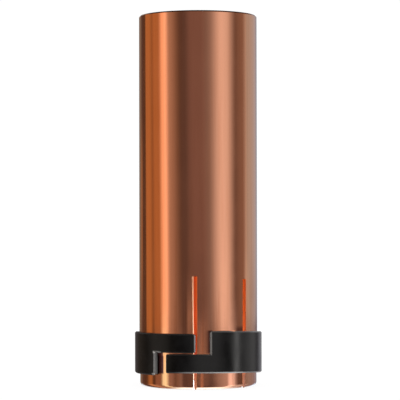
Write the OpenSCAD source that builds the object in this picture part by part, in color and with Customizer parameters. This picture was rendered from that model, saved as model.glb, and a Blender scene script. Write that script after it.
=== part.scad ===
// Gas nozzle for a MIG welding torch: a copper tube whose rear end is sawn into spring fingers,
// and a split band that squeezes those fingers onto the torch neck.
// Millimetres. The nozzle stands on its slotted rear end at Z = 0, with its axis on Z.
// The front is -Y, where the band's lap joint lies. Angles around the axis are counted from
// the front, and grow to the right.

/* [Tube] */
// Length from the slotted rear end to the front rim
tube_len = 79; // [60:1:110]
// Bore of the rear socket, which slides over the torch neck
socket_bore = 22; // [18:0.5:30]
// Wall of the tube around the rear socket
socket_wall = 1.6; // [1.3:0.1:2.4]
// Depth of the rear socket, up to its stop shoulder
socket_depth = 28; // [25:0.5:45]
// Wall of the tube around the gas passage
gas_wall = 2.6; // [2.5:0.1:5]
// Bevel on both edges of the front rim
rim_edge = 0.3; // [0.1:0.05:0.6]

/* [Rear lip] */
// How far the lip lies inside the tube's outside, on each side
lip_relief = 0.16; // [0.04:0.02:0.2]
// Height of the relieved lip, which ends under the band
lip_h = 7; // [5:0.5:10]
// Rounding of the lip's outer edge
lip_round = 0.9; // [0.2:0.05:0.9]
// Lead-in bevel at the mouth of the socket
mouth_edge = 0.3; // [0.1:0.05:0.35]

/* [Saw cuts] */
// Width of each saw cut at its closed end
cut_w = 0.95; // [0.6:0.05:2]
// How much narrower the left saw cut is at the rear end, where the band squeezes the fingers
left_squeeze = 0.3; // [0:0.02:0.4]
// How much narrower the right saw cut is at the rear end
right_squeeze = 0.1; // [0:0.02:0.4]
// Distance between the centres of the two parallel saw cuts
cut_spacing = 11.35; // [6:0.05:16]
// Direction of the saw cuts, turned to the left from straight back
cut_heading = 23.4; // [0:0.1:60]
// Height of the left saw cut above the rear end
left_cut_h = 23.6; // [14:0.1:24.5]
// Height of the right saw cut above the rear end
right_cut_h = 22.9; // [14:0.1:24.5]

/* [Clamp ring] */
// Height of the band
ring_h = 8.75; // [6:0.05:11]
// Thickness of the band
ring_t = 0.92; // [0.7:0.02:2]
// Height of the band's lower edge above the rear end, at the sides
ring_z = 2.75; // [2.4:0.05:5]
// Radial clearance between the tube and the band
ring_gap = 0.04; // [0.02:0.01:0.15]
// Bevel along the band's outer edges
ring_edge = 0.25; // [0.1:0.05:0.4]
// Lean of the band, front edge up
ring_lean = 3.4; // [2.4:0.1:4]
// Lean of the left arm, whose end sits lower
arm_lean = 0.7; // [0:0.1:2.2]

/* [Lap joint] */
// Angle of the cut end of the left arm, under its tongue
left_end_at = -42.6; // [-60:0.1:-34]
// Angle of the cut end of the right arm, above its tongue
right_end_at = 10.9; // [4:0.1:30]
// Angle between the cut end of the left arm and the tongue that faces it
left_gap = 12; // [4:0.2:16]
// Angle between the cut end of the right arm and the tongue that faces it
right_gap = 13.4; // [4:0.2:16]
// Gap between the two tongues where they are closest
tongue_gap = 0.2; // [0.15:0.05:1]
// Rounding of the corners at the cut ends
corner_r = 0.5; // [0.3:0.1:1]
// Bevel on the upright outer edge of each cut end
end_edge = 0.3; // [0.1:0.05:0.4]

/* [Hidden] */
$fn = 96;

// Overshoot of every cutting tool past the surface that it cuts
over = 1;

socket_r = socket_bore / 2;
tube_r = socket_r + socket_wall;
gas_r = tube_r - gas_wall;
lip_r = tube_r - lip_relief;
// Flat that stays on the end of the lip for the nozzle to stand on
lip_flat = 0.1;
lip_round_r = min(lip_round, lip_r - socket_r - mouth_edge - lip_flat);

ring_in_r = tube_r + ring_gap;
ring_r = ring_in_r + ring_t;
ring_top = ring_z + ring_h;
// Angle of the back, where the two arms are one
back = 180;
// Angle by which the tool for a tongue runs on into the arm that carries it
root = 5;
// Difference in height between the two arms at the front, which comes from their leans
arm_step = ring_r * (tan(ring_lean) - tan(arm_lean));
tongue_h = (ring_h - tongue_gap - arm_step) / 2;
// Height of the stock that the band is cut from, and of the tools that cut it
stock_h = 2 * ring_h + ring_z;

// Height of a leaning edge at one angle, for an edge that crosses the axis at height z
function edge_height(z, lean, at) = z + ring_r * cos(at) * tan(lean);

// Slope of a leaning edge along the band at one angle
function edge_slope(lean, at) = -atan(sin(at) * tan(lean));

// Half section of the tube, with radius along X and height along Y
module wall_section() {
    polygon([
        [socket_r + mouth_edge, 0],
        [lip_r - lip_round_r, 0],
        [lip_r - lip_round_r, lip_round_r],
        [lip_r, lip_round_r],
        [lip_r, lip_h],
        [tube_r, lip_h],
        [tube_r, tube_len - rim_edge],
        [tube_r - rim_edge, tube_len],
        [gas_r + rim_edge, tube_len],
        [gas_r, tube_len - rim_edge],
        [gas_r, socket_depth],
        [socket_r, socket_depth],
        [socket_r, mouth_edge],
    ]);
    translate([lip_r - lip_round_r, lip_round_r])
        intersection() {
            circle(r = lip_round_r);
            translate([0, -lip_round_r])
                square(lip_round_r);
        }
}

// One saw cut, right through both walls of the tube. The finger on its outer side is the one that
// the band pushes in.
module saw_cut(side, height, squeeze) {
    rotate([90, 0, cut_heading])
        linear_extrude(height = 2 * (tube_r + over), center = true)
            translate([side * cut_spacing / 2, 0])
                scale([side, 1])
                    polygon([
                        [-cut_w / 2, -over],
                        [cut_w / 2 - squeeze, -over],
                        [cut_w / 2 - squeeze, 0],
                        [cut_w / 2, height],
                        [-cut_w / 2, height],
                    ]);
}

module nozzle_body() {
    color("#c77a50")
        difference() {
            rotate_extrude()
                wall_section();
            saw_cut(-1, left_cut_h, left_squeeze);
            saw_cut(1, right_cut_h, right_squeeze);
        }
}

// Block that holds all of the band between two angles
module sector(from, to) {
    rotate([0, 0, from - 90])
        rotate_extrude(angle = to - from)
            translate([ring_in_r - over, 0])
                square([ring_t + 2 * over, stock_h]);
}

// All that lies under a leaning edge, with the bevel of that edge
module under_edge(z, lean) {
    translate([0, 0, z])
        rotate([-lean, 0, 0])
            translate([0, 0, -stock_h])
                cylinder(h = stock_h, r1 = ring_r - ring_edge + stock_h, r2 = ring_r - ring_edge);
}

// All that lies over a leaning edge, with the bevel of that edge
module over_edge(z, lean) {
    translate([0, 0, z])
        rotate([-lean, 0, 0])
            cylinder(h = stock_h, r1 = ring_r - ring_edge, r2 = ring_r - ring_edge + stock_h);
}

// Bevel tool for the upright outer edge of an end at one angle
module end_bevel(at) {
    rotate([0, 0, at - 90])
        translate([ring_r, 0, 0])
            rotate([0, 0, 45])
                translate([-end_edge, -end_edge, 0] * sqrt(1 / 2))
                    cube([end_edge * sqrt(2), end_edge * sqrt(2), stock_h]);
}

// Rounding tool for one corner of an end. The band lies to the right of the end where side is 1
// and to the left where it is -1, and over the edge where rise is 1, under it where -1.
module corner_rounding(at, z, lean, side, rise) {
    rotate([0, 0, at - 90])
        translate([ring_in_r - over, 0, edge_height(z, lean, at)])
            rotate([edge_slope(lean, at), 0, 0])
                rotate([90, 0, 90])
                    linear_extrude(height = ring_t + 2 * over)
                        mirror([side < 0 ? 1 : 0, 0])
                            mirror([0, rise < 0 ? 1 : 0])
                                difference() {
                                    translate([-over, -over])
                                        square(corner_r + over);
                                    translate([corner_r, corner_r])
                                        circle(r = corner_r);
                                }
}

// Whole band before the joint is cut, with the free end of its left arm at a lean of its own
module band() {
    difference() {
        intersection() {
            difference() {
                cylinder(h = stock_h, r = ring_r);
                translate([0, 0, -over])
                    cylinder(h = stock_h + 2 * over, r = ring_in_r);
            }
            under_edge(ring_top, ring_lean);
            union() {
                over_edge(ring_z, ring_lean);
                intersection() {
                    over_edge(ring_z, arm_lean);
                    sector(-back, left_end_at + left_gap / 2);
                }
            }
        }
        difference() {
            sector(-back, right_end_at - right_gap / 2);
            under_edge(ring_top, arm_lean);
        }
    }
}

// Room of the tongue on the left arm, in the upper half of the joint
module upper_tongue() {
    tip = right_end_at - right_gap;
    difference() {
        intersection() {
            over_edge(ring_top - tongue_h, arm_lean);
            sector(left_end_at - root, tip);
        }
        end_bevel(tip);
        corner_rounding(tip, ring_top, arm_lean, -1, -1);
        corner_rounding(tip, ring_top - tongue_h, arm_lean, -1, 1);
    }
}

// Room of the tongue on the right arm, in the lower half of the joint
module lower_tongue() {
    tip = left_end_at + left_gap;
    difference() {
        intersection() {
            under_edge(ring_z + tongue_h, ring_lean);
            sector(tip, right_end_at + root);
        }
        end_bevel(tip);
        corner_rounding(tip, ring_z + tongue_h, ring_lean, 1, -1);
        corner_rounding(tip, ring_z, ring_lean, 1, 1);
    }
}

// All that the stepped lap joint takes out of the band
module lap_joint() {
    difference() {
        union() {
            sector(left_end_at, right_end_at);
            end_bevel(left_end_at);
            end_bevel(right_end_at);
        }
        upper_tongue();
        lower_tongue();
    }
    corner_rounding(left_end_at, ring_z, arm_lean, -1, 1);
    corner_rounding(right_end_at, ring_top, ring_lean, 1, -1);
}

module clamp_ring() {
    color("#26262a")
        difference() {
            band();
            lap_joint();
        }
}

nozzle_body();
clamp_ring();
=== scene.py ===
"""Copper gas nozzle for a MIG torch, with a blackened split band around its slotted rear end.

Everything is in metres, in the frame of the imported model: Z is the axis of the tube, the nozzle
stands on Z = 0, and -Y is the front, where the camera is. Azimuths are in degrees around the axis:
0 is the front, and they grow to the right.
"""
import math
from functools import reduce

import bpy
from mathutils import Matrix, Vector

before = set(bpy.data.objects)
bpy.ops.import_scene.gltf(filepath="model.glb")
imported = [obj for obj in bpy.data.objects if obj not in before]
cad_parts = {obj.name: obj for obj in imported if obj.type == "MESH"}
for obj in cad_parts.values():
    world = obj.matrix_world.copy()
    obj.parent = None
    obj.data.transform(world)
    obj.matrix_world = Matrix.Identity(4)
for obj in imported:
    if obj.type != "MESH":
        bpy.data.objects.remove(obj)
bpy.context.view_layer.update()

MM = 0.001
DEGREE = math.radians(1)

# Camera, on a photograph of 400 x 400 pixels
EYE = Vector((0.41, -403.0, 35.5)) * MM
AIM = Vector((0.41, 0.0, 39.6)) * MM
LENS_MM = 169.2
SENSOR_MM = 36.0
CLIP_START = 10 * MM
ROLL = -0.10 * DEGREE

# Heights of the lights: of the lower edge, of the upper edge, and of the soft zone at both. TALL
# ones are for the band. The tube mirrors the HIGH ones, the lip and the tube in the joint's windows
# the LOW ones, and the rounding of the lip the ones that are UNDER.
TALL = (-1.1, 0.6, 0.02)
HIGH = (-0.055, 0.6, 0.016)
LOW = (-1.1, -0.039, 0.016)
UNDER = (-1.1, -0.15, 0.1)
# The lights stand upright in a ring around the object, and each lights one node of the part alone.
# Each has its name, the azimuths where it starts and is full, the azimuths where it is still full
# and ends, its colour, how many degrees its top leans to the left, and its heights.
COPPER_LIGHTS = (
    ("rear_left", (-172, -166), (-154, -141), (0.12, 0.11, 0.05), 0, TALL),
    ("left_rim", (-149, -145), (-141, -137), (0.22, 0.11, 0.02), 0, (-0.05, 0.12, 0.06)),
    ("left_edge", (-125, -121), (-110, -91), (0.35, 0.195, 0.07), 16, HIGH),
    ("left_fill", (-101.5, -92.5), (-87, -62), (0.33, 0.18, 0.07), 22, HIGH),
    ("left_strip", (-83, -71), (-69, -56), (0.89, 0.71, 0.64), 18, HIGH),
    ("left_glow", (-72, -64), (-60, -31), (0.325, 0.295, 0.305), 22, HIGH),
    ("front_card", (-26, -10), (8, 20), (0.083, 0.067, 0.079), 26, (-0.10, 0.6, 0.16)),
    ("front_left", (-24, -18), (-14, -9), (0.25, 0.21, 0.19), 0, (-0.065, -0.007, 0.030)),
    ("front", (-8, -2), (14, 26), (0.30, 0.26, 0.27), 0, (-0.064, -0.036, 0.010)),
    ("right_spill", (6, 31), (43, 72), (0.20, 0.22, 0.27), 24, HIGH),
    ("right_softbox", (22, 49), (56, 79.5), (0.51, 0.57, 0.70), 3, HIGH),
    ("right_softbox_foot", (38, 50), (56, 68), (0.07, 0.07, 0.07), 0, (-0.060, 0.03, 0.040)),
    ("right_card", (64, 98), (108, 112), (0.13, 0.11, 0.10), 12, HIGH),
    ("right_fill", (96, 117), (142, 182), (0.33, 0.47, 0.60), 10, (-0.16, 0.6, 0.19)),
    ("right_fill_foot", (98, 106), (112, 124), (0.09, 0.13, 0.16), 0, (-0.060, 0.02, 0.030)),
    ("right_edge_foot", (108, 120), (134, 150), (0.10, 0.17, 0.23), 0, (-0.062, -0.016, 0.022)),
    ("low_left_fill", (-123, -109), (-106, -98), (0.29, 0.18, 0.07), 0, LOW),
    ("low_left_mid", (-96, -90), (-80, -74), (0.15, 0.11, 0.10), 0, LOW),
    ("low_left_strip", (-79, -71), (-67, -58), (1.05, 1.53, 1.42), 0, LOW),
    ("low_left_glow", (-66, -60), (-56, -40), (0.19, 0.18, 0.21), 0, LOW),
    ("low_left_front", (-46, -40), (-34, -28), (0.13, 0.13, 0.15), 0, LOW),
    ("low_front_strip", (4.5, 6.5), (8, 10), (0.55, 0.36, 0.26), 0, (-1.1, -0.062, 0.010)),
    ("low_right_spill", (24, 60), (66, 83), (0.34, 0.36, 0.44), 0, LOW),
    ("low_right_softbox", (58, 64), (69, 86), (0.62, 0.74, 1.05), 0, LOW),
    ("low_right_fill", (92, 116), (170, 186), (0.18, 0.23, 0.30), 0, LOW),
    ("under_left", (-130, -115), (-95, -80), (0.25, 0.22, 0.20), 0, UNDER),
    ("under_right", (60, 74), (100, 125), (0.45, 0.60, 0.85), 0, UNDER),
    ("under_rear", (150, 165), (195, 210), (0.60, 1.10, 1.60), 0, UNDER),
)
BAND_LIGHTS = (
    ("band_rear_left", (-178, -168), (-112, -100), (0.078, 0.062, 0.047), 0, TALL),
    ("band_left", (-106, -84), (-64, -46), (0.58, 0.51, 0.44), 0, TALL),
    ("band_front", (-26, 8), (28, 54), (0.88, 0.85, 0.82), 0, TALL),
    ("band_key", (64, 71), (75, 81), (4.20, 4.10, 4.00), 0, TALL),
    ("band_right", (62, 112), (114, 134), (0.92, 0.90, 0.88), 0, TALL),
    ("band_rear_right", (132, 146), (166, 178), (0.50, 0.50, 0.53), 0, TALL),
)
LIGHT_DISTANCE = 0.9
# Height around which a light leans
LEAN_HEIGHT = 0.1

# Glow of the floor right under the foot, for the edges that face down. Each has its name, how far
# it reaches from the axis, where along X it starts and is full, where it is still full and ends,
# and its colour.
COPPER_FOOT_LIGHT = (
    "foot_copper", 13.45 * MM, (-7 * MM, -2.5 * MM), (3 * MM, 10 * MM), (1.4, 3.0, 4.8))
BAND_FOOT_LIGHT = (
    "foot_band", 15 * MM, (-7 * MM, -1 * MM), (9 * MM, 14 * MM), (6.4, 6.2, 6.0))
FOOT_DEPTH = 0.5 * MM
# Soft zone at its outer edge, and distances from the axis where it starts and is full
FOOT_SOFT = 1 * MM
FOOT_HOLE = (11.5 * MM, 12.1 * MM)

# The room that the metal mirrors between the lights. Its warm part lies to the left, its ceiling up
# and its ground down; each pair says where one of them starts and is full, along X or Z of the
# mirrored direction.
ROOM = (0.108, 0.092, 0.104, 1)
WARM_ROOM = (0.098, 0.066, 0.048, 1)
WARM_TO_LEFT = (-0.45, -0.75)
CEILING = (0.035, 0.03, 0.03, 1)
CEILING_UP = (0.45, 0.75)
GROUND = (0.40, 0.40, 0.40, 1)
GROUND_DOWN = (-0.70, -0.80)

WHITE = (1, 1, 1, 1)
BACKDROP_GLOW = 1.02
FLOOR_GREY = (0.10, 0.10, 0.10, 1)
FLOOR_GLOW = 0.93
FLOOR_RADIUS = 0.6
FLOOR_CORNERS = 96
# Lit patch of the floor inside the tube
PATCH_GLOW = 3.4
PATCH_RADIUS = 10.9 * MM
PATCH_HEIGHT = 0.02 * MM

COPPER = (0.95, 0.40, 0.20, 1)
COPPER_STREAK = (0.87, 0.335, 0.155, 1)
BORED_COPPER = (0.90, 0.66, 0.50, 1)
# Copper up in the gas passage, darker than in the socket below it
PASSAGE_COPPER = (0.60, 0.34, 0.22, 1)
# Saw-cut walls: the copper's colour painted with the deep red of light bounced inside the slots,
# paler over the lip where light comes in from below, and with shades of their own in the right slot
SAWN_PAINTED_BOUNCE = (0.80, 0.145, 0.022, 1)
SAWN_RIGHT_PAINTED_BOUNCE = (0.78, 0.165, 0.016, 1)
SAWN_LIP_PAINTED_BOUNCE = (0.50, 0.17, 0.055, 1)
SAWN_RIGHT_LIP_PAINTED_BOUNCE = (0.30, 0.085, 0.022, 1)
# Dark red-purple painted shade and dark reflection of the band, laid on the copper beside and over
# it
PAINTED_SHADE = (0.10, 0.032, 0.036, 1)
BLACK = (0.0012, 0.00115, 0.0011, 1)
BLACK_GREY = (0.0026, 0.0025, 0.0024, 1)
STEEL = (0.42, 0.41, 0.40, 1)
SCALE_GREY = (0.165, 0.165, 0.162, 1)

# Where the copper's finishes start and are full: by radius, by height, along X, and by the flatness
# and roundness that RoundPart has for each face
BORED_WITHIN = (11.8 * MM, 11.6 * MM)
PASSAGE_FROM = (26 * MM, 32 * MM)
STREAKS_DOWN = (26 * MM, 12 * MM)
# Heights over the lip, and X towards the right slot, where the saw cuts' painted bounce light
# changes
OVER_LIP = (2.2 * MM, 4.5 * MM)
RIGHT_CUT = (2 * MM, 6 * MM)
END_FACE = (0.75, 0.9)
UPRIGHT_FACE = (0.6, 0.4)
SAWN_FACE = (0.85, 0.75)
# The same for the band. An edge face lies between its round sides and its cut ends.
# Along X, where the edges' rubbed metal, partly wear and partly a painted highlight, starts growing
# and is full
RUBBED_AND_LIT_TO_RIGHT = (-2 * MM, 9 * MM)
BAND_UPRIGHT = (0.35, 0.25)
OFF_THE_ROUND = (0.95, 0.85)
OFF_THE_CUT = (0.35, 0.5)
CUT_FACE = (0.35, 0.25)

# Patches on the outside. The azimuths where the left and the right side start and are full come
# first, then the heights in millimetres where the lower and the upper side start and are full.
# The first three patches are painted shade and dark reflection on the copper, where the band shades
# the tube and shows in it: beside the left arm's cut end, beside the right arm's end, and just over
# the band. The share says how dark the last one is.
PAINTED_SHADE_LEFT = ((-50, -48), (-35.3, -36.3)), ((3.0, 3.5), (8.6, 8.2))
PAINTED_SHADE_RIGHT = ((6.5, 11.5), (14, 13)), ((7.4, 7.9), (12.6, 12.1))
PAINTED_SHADE_OVER_BAND = ((36, 42), (52, 50)), ((11.4, 11.8), (13.4, 12.4))
PAINTED_SHADE_OVER_BAND_SHARE = 0.65
# Bare corners of the left arm, over and under its cut end: partly wear and partly a painted
# highlight along their edges
BARE_AND_HIGHLIT_OVER_CUT = ((-45.0, -43.7), (-34, -40)), ((7.45, 7.6), (8.05, 7.85))
BARE_AND_HIGHLIT_UNDER_CUT = ((-46.3, -44.6), (-35, -39)), ((2.6, 2.8), (3.45, 3.15))

# Share of the streaks at the top and at the foot of the tube
STREAK_SHARE = (0.5, 0.9)
# Share of rubbed metal on the band's lower and upper edges, at the left and at the right, and on
# its upright edges. Growing to the right, it is partly wear and partly a painted highlight on the
# edges that face the lights.
RUBBED_AND_LIT_SHARE = (0.04, 0.3)
UPRIGHT_EDGE_SHARE = 0.45
# Roughness, from the brightest to the dullest spots, and what the streaks add to it
COPPER_ROUGHNESS = (0.07, 0.12)
STREAK_ROUGHNESS = (0.0, 0.03)
BLACK_ROUGHNESS = (0.20, 0.27)
BORED_ROUGHNESS = 0.38
SAWN_ROUGHNESS = 0.5
BORED_METALLIC = 0.5
SAWN_METALLIC = 0.3
CUT_METALLIC = 0.25
COPPER_SPECULAR = 0.15
BLACK_SPECULAR = 0.25
COPPER_BUMP = 0.35
BLACK_BUMP = 0.25
# Depth of the relief, the share of the turned rings that polishing leaves, and how strong the
# band's brushing is beside its grain
RELIEF_DEPTH = 0.02 * MM
POLISHED_RELIEF = 0.12
BRUSHED_RELIEF = 0.5


class Shading:
    """A node tree in the making. Each method adds nodes and gives back what comes out of them."""

    def __init__(self, owner):
        owner.use_nodes = True
        self.tree = owner.node_tree
        self.tree.nodes.clear()

    def node(self, kind, inputs=(), **settings):
        node = self.tree.nodes.new(kind)
        for name, value in settings.items():
            setattr(node, name, value)
        for key, value in dict(inputs).items():
            if isinstance(value, bpy.types.NodeSocket):
                self.tree.links.new(value, node.inputs[key])
            else:
                node.inputs[key].default_value = value
        return node

    def math(self, operation, a, b=0.0, c=0.0):
        return self.node("ShaderNodeMath", {0: a, 1: b, 2: c}, operation=operation).outputs[0]

    def vector(self, operation, a, b=(0, 0, 0)):
        node = self.node("ShaderNodeVectorMath", {0: a, 1: b}, operation=operation)
        return node.outputs["Value" if operation in ("LENGTH", "DOT_PRODUCT") else "Vector"]

    def apart(self, vector):
        """The three coordinates of a vector."""
        return self.node("ShaderNodeSeparateXYZ", {0: vector}).outputs

    def level(self, vector):
        """A vector without its height."""
        return self.vector("MULTIPLY", vector, (1, 1, 0))

    def both(self, *shares):
        """The product of some shares."""
        return reduce(lambda a, b: self.math("MULTIPLY", a, b), shares)

    def either(self, *shares):
        """The largest of some shares."""
        return reduce(lambda a, b: self.math("MAXIMUM", a, b), shares)

    def ramp(self, value, start, end, low=0.0, high=1.0):
        """From low at start to high at end, with soft ends."""
        inputs = {"Value": value, "From Min": start, "From Max": end, "To Min": low, "To Max": high}
        return self.node("ShaderNodeMapRange", inputs, interpolation_type="SMOOTHSTEP").outputs[0]

    def mix(self, share, a, b):
        """Colour a, and b where share is 1."""
        return self.node("ShaderNodeMix", {0: share, 6: a, 7: b}, data_type="RGBA").outputs[2]

    def blend(self, share, a, b):
        """Number a, and b where share is 1."""
        return self.node("ShaderNodeMix", {0: share, 2: a, 3: b}, data_type="FLOAT").outputs[0]

    def noise(self, where, size, detail=3):
        """Noise from 0 to 1, with spots of about this size."""
        inputs = {"Vector": where, "Scale": 1 / size, "Detail": detail, "Roughness": 0.55}
        return self.node("ShaderNodeTexNoise", inputs).outputs[0]

    def bump(self, strength, relief):
        """Normals of a relief."""
        inputs = {"Strength": strength, "Distance": RELIEF_DEPTH, "Height": relief}
        return self.node("ShaderNodeBump", inputs).outputs[0]

    def finish(self, inputs, kind="ShaderNodeBsdfPrincipled", out="ShaderNodeOutputMaterial"):
        shader = self.node(kind, inputs)
        self.node(out, {0: shader.outputs[0]})


class RoundPart(Shading):
    """The shading of a part that is turned around the axis, with what is known of each point."""

    def __init__(self, name):
        self.material = bpy.data.materials.new(name)
        super().__init__(self.material)
        self.place = self.node("ShaderNodeTexCoord").outputs["Object"]
        spot = self.apart(self.place)
        self.across = spot["X"]
        self.height = spot["Z"]
        self.azimuth = self.math("ARCTAN2", spot["X"], self.math("MULTIPLY", spot["Y"], -1))
        sideways = self.level(self.place)
        self.radius = self.vector("LENGTH", sideways)
        face = self.node("ShaderNodeNewGeometry").outputs["True Normal"]
        # 1 on faces that look straight away from the axis, or straight at it
        self.roundness = self.math("ABSOLUTE", self.vector(
            "DOT_PRODUCT", face, self.vector("NORMALIZE", sideways)))
        # 1 on faces that look straight up or down
        self.flatness = self.math("ABSOLUTE", self.apart(face)["Z"])
        # Coordinates for streaks along the axis, and for rings around it
        self.along = self.vector("MULTIPLY", self.place, (1, 1, 0.02))
        self.around = self.node("ShaderNodeCombineXYZ", {0: self.radius, 2: self.height}).outputs[0]

    def patch(self, azimuths, heights):
        """1 inside a patch on the outside, which is given as PAINTED_SHADE_LEFT is."""
        sides = [(self.azimuth, DEGREE, side) for side in azimuths]
        sides += [(self.height, MM, side) for side in heights]
        return self.both(*(self.ramp(value, start * unit, full * unit)
                           for value, unit, (start, full) in sides))


class AreaLight(Shading):
    """An area light with a strength of its own at each spot, which lights one node alone."""

    def __init__(self, name, width, height, colour):
        self.data = bpy.data.lights.new(name, "AREA")
        self.data.shape = "RECTANGLE"
        self.data.size = width
        self.data.size_y = height
        self.data.energy = math.pi * width * height
        self.data.color = colour
        super().__init__(self.data)
        # From 0 to 1 across the light and up it
        self.spot = self.node("ShaderNodeNewGeometry").outputs["Parametric"]

    def put(self, matrix, strength, receivers):
        self.finish({"Strength": strength}, "ShaderNodeEmission", "ShaderNodeOutputLight")
        light = bpy.data.objects.new(self.data.name, self.data)
        bpy.context.scene.collection.objects.link(light)
        light.matrix_world = matrix
        light.visible_camera = False
        light.light_linking.receiver_collection = receivers


def make_camera():
    data = bpy.data.cameras.new("camera")
    data.lens = LENS_MM
    data.sensor_width = SENSOR_MM
    data.clip_start = CLIP_START
    camera = bpy.data.objects.new("camera", data)
    bpy.context.scene.collection.objects.link(camera)
    turn = (AIM - EYE).to_track_quat("-Z", "Y").to_matrix().to_4x4()
    camera.matrix_world = Matrix.Translation(EYE) @ turn @ Matrix.Rotation(ROLL, 4, "Z")
    bpy.context.scene.camera = camera


def make_world():
    """White behind the object, and a dim room with a pale ground for the metal to mirror."""
    world = bpy.data.worlds.new("studio")
    bpy.context.scene.world = world
    studio = Shading(world)
    way = studio.node("ShaderNodeTexCoord").outputs["Generated"]
    up = studio.apart(way)["Z"]
    right = studio.apart(studio.vector("NORMALIZE", studio.level(way)))["X"]
    room = studio.mix(studio.ramp(right, *WARM_TO_LEFT), ROOM, WARM_ROOM)
    room = studio.mix(studio.ramp(up, *CEILING_UP), room, CEILING)
    room = studio.mix(studio.ramp(up, *GROUND_DOWN), room, GROUND)
    rays = studio.node("ShaderNodeLightPath")
    white = studio.node("ShaderNodeBackground", {"Color": WHITE, "Strength": BACKDROP_GLOW})
    dim = studio.node("ShaderNodeBackground", {"Color": room, "Strength": 1.0})
    inputs = {0: rays.outputs["Is Glossy Ray"], 1: white.outputs[0], 2: dim.outputs[0]}
    studio.finish(inputs, "ShaderNodeMixShader", "ShaderNodeOutputWorld")


def receivers_of(name):
    """A collection of one node of the part, for the lights that light it alone."""
    collection = bpy.data.collections.new("lit_" + name)
    collection.objects.link(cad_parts[name])
    return collection


def make_light(name, rise, fall, colour, lean, heights, receivers):
    """A light with soft edges that faces the object."""
    bottom, top, soft = heights
    height = top - bottom
    middle = (rise[0] + fall[1]) / 2 * DEGREE
    half = (fall[1] - rise[0]) / 2 * DEGREE
    slope = math.tan(lean * DEGREE)
    drift = slope * max(top - LEAN_HEIGHT, LEAN_HEIGHT - bottom)
    width = 2 * (LIGHT_DISTANCE * math.tan(half) + drift)

    def share(azimuth):
        """Where an azimuth lies across the light at the lean height, from 0 to 1."""
        return LIGHT_DISTANCE * math.tan(azimuth * DEGREE - middle) / width + 0.5

    light = AreaLight(name, width, height, colour)
    spot = light.apart(light.spot)
    leaning = light.math("MULTIPLY_ADD", spot["Y"], slope * height / width,
                         slope * (bottom - LEAN_HEIGHT) / width)
    across = light.math("ADD", spot["X"], leaning)
    strength = light.both(
        light.ramp(across, share(rise[0]), share(rise[1])),
        light.ramp(across, share(fall[1]), share(fall[0])),
        light.ramp(spot["Y"], 0, soft / height),
        light.ramp(spot["Y"], 1, 1 - soft / height))

    away = Vector((math.sin(middle), -math.cos(middle), 0))
    facing = away.to_track_quat("Z", "Y").to_matrix().to_4x4()
    centre = Vector((0, 0, (bottom + top) / 2)) + away * LIGHT_DISTANCE
    light.put(Matrix.Translation(centre) @ facing, strength, receivers)


def make_foot_light(name, reach, rise, fall, colour, receivers):
    """The lit floor right under the foot. It lies just below the floor and faces up."""
    side = 2 * reach
    light = AreaLight(name, side, side, colour)
    spot = light.vector("SUBTRACT", light.spot, (0.5, 0.5, 0))
    outwards = light.math("MULTIPLY", light.vector("LENGTH", spot), side)
    across = light.math("MULTIPLY", light.apart(spot)["X"], side)
    strength = light.both(
        light.ramp(outwards, reach, reach - FOOT_SOFT),
        light.ramp(outwards, *FOOT_HOLE),
        light.ramp(across, *rise),
        light.ramp(across, *reversed(fall)))
    facing_up = Matrix.Rotation(math.pi, 4, "X")
    light.put(Matrix.Translation((0, 0, -FOOT_DEPTH)) @ facing_up, strength, receivers)


def make_lights():
    copper_parts, band_parts = receivers_of("nozzle_body"), receivers_of("clamp_ring")
    for light in COPPER_LIGHTS:
        make_light(*light, copper_parts)
    for light in BAND_LIGHTS:
        make_light(*light, band_parts)
    make_foot_light(*COPPER_FOOT_LIGHT, copper_parts)
    make_foot_light(*BAND_FOOT_LIGHT, band_parts)


def make_table(name, radius, height, glow):
    """A round piece of a white light table."""
    mesh = bpy.data.meshes.new(name)
    angles = [2 * math.pi * corner / FLOOR_CORNERS for corner in range(FLOOR_CORNERS)]
    rim = [(radius * math.cos(angle), radius * math.sin(angle), height) for angle in angles]
    mesh.from_pydata(rim, [], [list(range(FLOOR_CORNERS))])
    table = bpy.data.objects.new(name, mesh)
    bpy.context.scene.collection.objects.link(table)
    material = bpy.data.materials.new(name)
    Shading(material).finish({
        "Base Color": FLOOR_GREY,
        "Roughness": 0.8,
        "Specular IOR Level": 0.0,
        "Emission Color": WHITE,
        "Emission Strength": glow,
    })
    mesh.materials.append(material)
    return table


def make_floor():
    """A plain white floor that the metal doesn't mirror, and its lit patch inside the tube."""
    floor = make_table("floor", FLOOR_RADIUS, 0, FLOOR_GLOW)
    floor.visible_glossy = False
    floor.visible_shadow = False
    make_table("floor_patch", PATCH_RADIUS, PATCH_HEIGHT, PATCH_GLOW)


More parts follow.
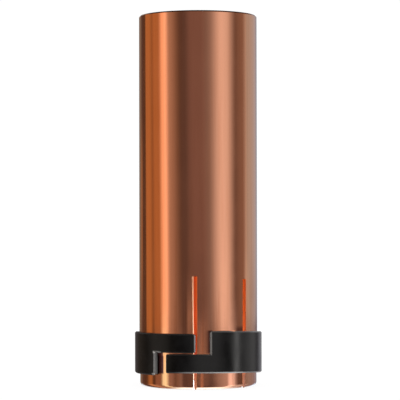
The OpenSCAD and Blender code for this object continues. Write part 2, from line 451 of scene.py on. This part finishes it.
def copper():
    """Drawn and polished copper outside, a dull bored finish inside, and rough saw cuts painted
    with the deep red of light bounced inside the slots, with painted shade and dark reflections of
    the band on the copper beside and over it.
    """
    part = RoundPart("copper_finish")
    streaks = part.noise(part.along, 0.5 * MM)
    rings = part.noise(part.around, 0.16 * MM)
    clouds = part.noise(part.place, 7 * MM)
    grain = part.noise(part.place, 0.25 * MM)

    upright = part.ramp(part.flatness, *UPRIGHT_FACE)
    bored = part.either(part.ramp(part.radius, *BORED_WITHIN), part.ramp(part.flatness, *END_FACE))
    passage = part.both(part.ramp(part.height, *PASSAGE_FROM), upright)
    sawn = part.both(part.ramp(part.roundness, *SAWN_FACE), upright)

    streaky = part.both(part.ramp(streaks, 0.45, 0.75),
                        part.ramp(part.height, *STREAKS_DOWN, *STREAK_SHARE))
    skin = part.mix(streaky, COPPER, COPPER_STREAK)
    # Painted shade and dark reflection of the band on the copper, beside its cut ends and just over
    # it, broken up by the grain
    over_band = part.both(part.patch(*PAINTED_SHADE_OVER_BAND), PAINTED_SHADE_OVER_BAND_SHARE)
    painted_shade = part.either(part.patch(*PAINTED_SHADE_LEFT), part.patch(*PAINTED_SHADE_RIGHT), over_band)
    painted_shade = part.both(painted_shade, part.ramp(grain, 0.2, 0.5, 0.75, 1.0))
    skin = part.mix(painted_shade, skin, PAINTED_SHADE)
    inside = part.mix(passage, BORED_COPPER, PASSAGE_COPPER)
    # The saw cuts' painted bounce light: paler over the lip, and of its own shade in the right slot
    right_cut = part.ramp(part.across, *RIGHT_CUT)
    cut = part.mix(
        part.ramp(part.height, *OVER_LIP),
        part.mix(right_cut, SAWN_LIP_PAINTED_BOUNCE, SAWN_RIGHT_LIP_PAINTED_BOUNCE),
        part.mix(right_cut, SAWN_PAINTED_BOUNCE, SAWN_RIGHT_PAINTED_BOUNCE))

    polish = part.math("ADD", part.ramp(clouds, 0.35, 0.7, *COPPER_ROUGHNESS),
                       part.ramp(streaks, 0.4, 0.7, *STREAK_ROUGHNESS))
    relief = part.blend(bored, part.math("MULTIPLY", rings, POLISHED_RELIEF), rings)
    relief = part.blend(sawn, relief, grain)
    part.finish({
        "Base Color": part.mix(sawn, part.mix(bored, skin, inside), cut),
        "Metallic": part.blend(sawn, part.blend(bored, 1.0, BORED_METALLIC), SAWN_METALLIC),
        "Roughness": part.blend(sawn, part.blend(bored, polish, BORED_ROUGHNESS), SAWN_ROUGHNESS),
        "Specular IOR Level": COPPER_SPECULAR,
        "Normal": part.bump(COPPER_BUMP, relief),
    })
    return part.material


def black():
    """Satin black oxide on spring steel, rubbed bare along the edges and at the cut ends. The bare
    metal is partly a painted highlight: more of it on the right, where the edges face the lights,
    and at the left arm's cut corners.
    """
    part = RoundPart("black_finish")
    clouds = part.noise(part.place, 3 * MM)
    grain = part.noise(part.place, 0.12 * MM, 4)
    brushed = part.noise(part.around, 0.15 * MM)

    upright = part.ramp(part.flatness, *BAND_UPRIGHT)
    cut = part.both(part.ramp(part.roundness, *CUT_FACE), upright)
    edge = part.both(
        part.ramp(part.roundness, *OFF_THE_ROUND), part.ramp(part.roundness, *OFF_THE_CUT))
    # Rubbed metal on the edges that grows to the right: partly wear and partly a painted highlight
    # where the edges face the lights
    rubbed_and_lit = part.ramp(part.across, *RUBBED_AND_LIT_TO_RIGHT, *RUBBED_AND_LIT_SHARE)
    rubbed = part.both(edge, part.blend(upright, rubbed_and_lit, UPRIGHT_EDGE_SHARE),
                       part.ramp(grain, 0.35, 0.6, 0.4, 1.0))
    # Bare steel at the left arm's cut corners, partly wear and partly a painted highlight along
    # their edges
    rubbed = part.either(rubbed, part.patch(*BARE_AND_HIGHLIT_OVER_CUT), part.patch(*BARE_AND_HIGHLIT_UNDER_CUT))

    colour = part.mix(part.ramp(clouds, 0.4, 0.65), BLACK, BLACK_GREY)
    colour = part.mix(rubbed, colour, STEEL)
    relief = part.math("ADD", grain, part.math("MULTIPLY", brushed, BRUSHED_RELIEF))
    part.finish({
        "Base Color": part.mix(cut, colour, SCALE_GREY),
        "Metallic": part.blend(cut, rubbed, CUT_METALLIC),
        "Roughness": part.ramp(clouds, 0.35, 0.7, *BLACK_ROUGHNESS),
        "Specular IOR Level": BLACK_SPECULAR,
        "Normal": part.bump(BLACK_BUMP, relief),
    })
    return part.material


def finish_node(name, material):
    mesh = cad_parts[name].data
    mesh.materials.clear()
    mesh.materials.append(material)


bpy.context.scene.view_settings.view_transform = "Standard"
make_camera()
make_world()
make_lights()
make_floor()
finish_node("nozzle_body", copper())
finish_node("clamp_ring", black())
